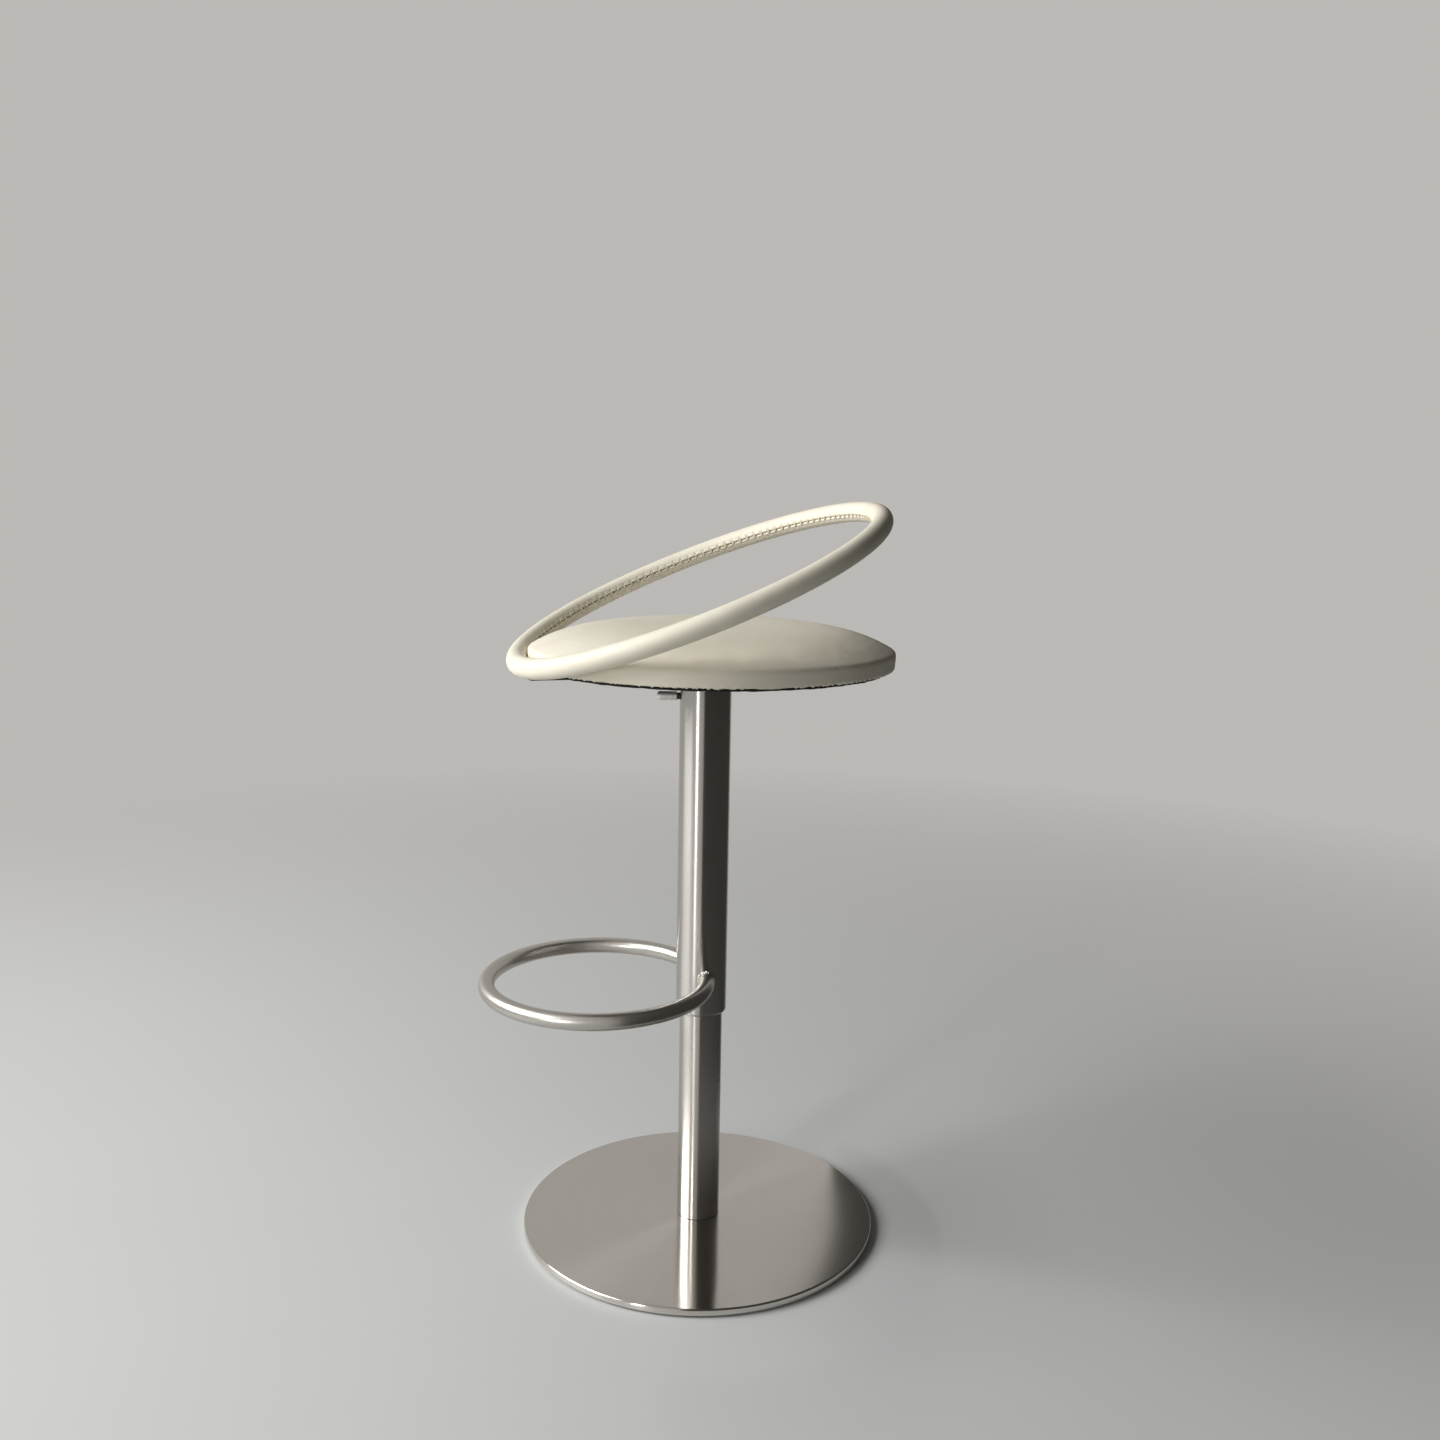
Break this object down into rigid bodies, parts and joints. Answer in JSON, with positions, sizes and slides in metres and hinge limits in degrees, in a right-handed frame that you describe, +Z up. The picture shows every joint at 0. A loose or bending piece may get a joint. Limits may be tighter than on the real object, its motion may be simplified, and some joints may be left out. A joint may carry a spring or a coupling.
{
  "type": "counter stool",
  "caption": "Swivel counter stool: round padded seat, tilted padded ring backrest, telescoping gas column with ring footrest, round flat base.",
  "frame": {"origin": "on the floor under the column's axis, at the middle of the floor pad's lower face", "axes": "+Z up; -Y to the front, where the footrest and the low side of the ring backrest are; +X to the sitter's left"},
  "size_m": [0.4664, 0.4815, 0.8748],
  "materials": {
    "brushed_steel": "hairline brushed stainless steel",
    "plate_steel": "circular brushed stainless steel with a polished rim",
    "polished_steel": "ground and polished",
    "plated_steel": "zinc plated",
    "black_steel": "black powder coat",
    "seat_leather": "smooth cream upholstery leather",
    "seat_foam": "open-cell foam",
    "plywood": "raw plywood",
    "black_plastic": "matte",
    "white_plastic": "acetal, natural",
    "rubber": "matte"
  },
  "bodies": {
    "base": {"floor_pad": "rubber", "base_plate": "plate_steel", "column_foot": "plated_steel", "base_bolt_1": "plated_steel", "base_bolt_2": "plated_steel", "base_bolt_3": "plated_steel", "base_bolt_4": "plated_steel", "lower_tube": "brushed_steel", "tube_top_guide": "white_plastic", "rod_washer": "plated_steel", "lower_race": "polished_steel"},
    "ball_cage": {"bearing_cage": "white_plastic", "bearing_ball_1": "polished_steel", "bearing_ball_2": "polished_steel", "bearing_ball_3": "polished_steel", "bearing_ball_4": "polished_steel", "bearing_ball_5": "polished_steel", "bearing_ball_6": "polished_steel"},
    "spring_rod": {"upper_race": "polished_steel", "piston_rod": "polished_steel", "rod_clip": "black_steel", "rod_buffer": "rubber", "piston": "plated_steel", "piston_ring": "rubber", "piston_nut": "plated_steel"},
    "seat_unit": {"gas_cylinder": "black_steel", "rod_guide": "white_plastic", "rod_seal": "rubber", "cylinder_hub": "plated_steel", "upper_tube": "brushed_steel", "slide_bush": "black_plastic", "footrest_ring": "brushed_steel", "lever_bracket": "plated_steel", "lever_pin": "plated_steel", "seat_plate": "black_steel", "plate_bolt_1": "plated_steel", "plate_bolt_2": "plated_steel", "plate_bolt_3": "plated_steel", "plate_bolt_4": "plated_steel", "tee_nut_1": "plated_steel", "tee_nut_2": "plated_steel", "tee_nut_3": "plated_steel", "tee_nut_4": "plated_steel", "seat_cover": "seat_leather", "seat_foam": "seat_foam", "seat_board": "plywood", "dust_cover": "black_plastic", "ring_tube": "plated_steel", "ring_cover": "seat_leather", "ring_bracket": "black_steel", "bracket_screw_1": "plated_steel", "bracket_screw_2": "plated_steel", "bracket_screw_3": "plated_steel", "bracket_screw_4": "plated_steel"},
    "lever": {"release_lever": "black_steel", "lever_grip": "polished_steel"},
    "valve": {"valve_pin": "polished_steel"}
  },
  "joints": [
    {"name": "seat_swivel", "type": "hinge", "parent": "base", "child": "spring_rod", "pos_m": [0, 0, 0.0456], "axis": [0, 0, 1], "continuous": true},
    {"name": "bearing_turn", "type": "hinge", "parent": "base", "child": "ball_cage", "pos_m": [0, 0, 0.0456], "axis": [0, 0, 1], "continuous": true},
    {"name": "height_slide", "type": "slide", "parent": "spring_rod", "child": "seat_unit", "axis": [0, 0, 1], "range_m": [-0.14, 0.06]},
    {"name": "lever_press", "type": "hinge", "parent": "seat_unit", "child": "lever", "pos_m": [0.00596, 0.02014, 0.65], "axis": [0.9588, -0.284, 0], "range_deg": [0, 3.5], "stiffness_Nm_per_rad": 2, "springref_deg": -11.46},
    {"name": "valve_press", "type": "slide", "parent": "seat_unit", "child": "valve", "axis": [0, 0, -1], "range_m": [0, 0.0013]}
  ],
  "couplings": [
    {"joint": "bearing_turn", "follows": "seat_swivel", "ratio": 0.5},
    {"joint": "valve_press", "follows": "lever_press", "m_per_rad": 0.021}
  ]
}
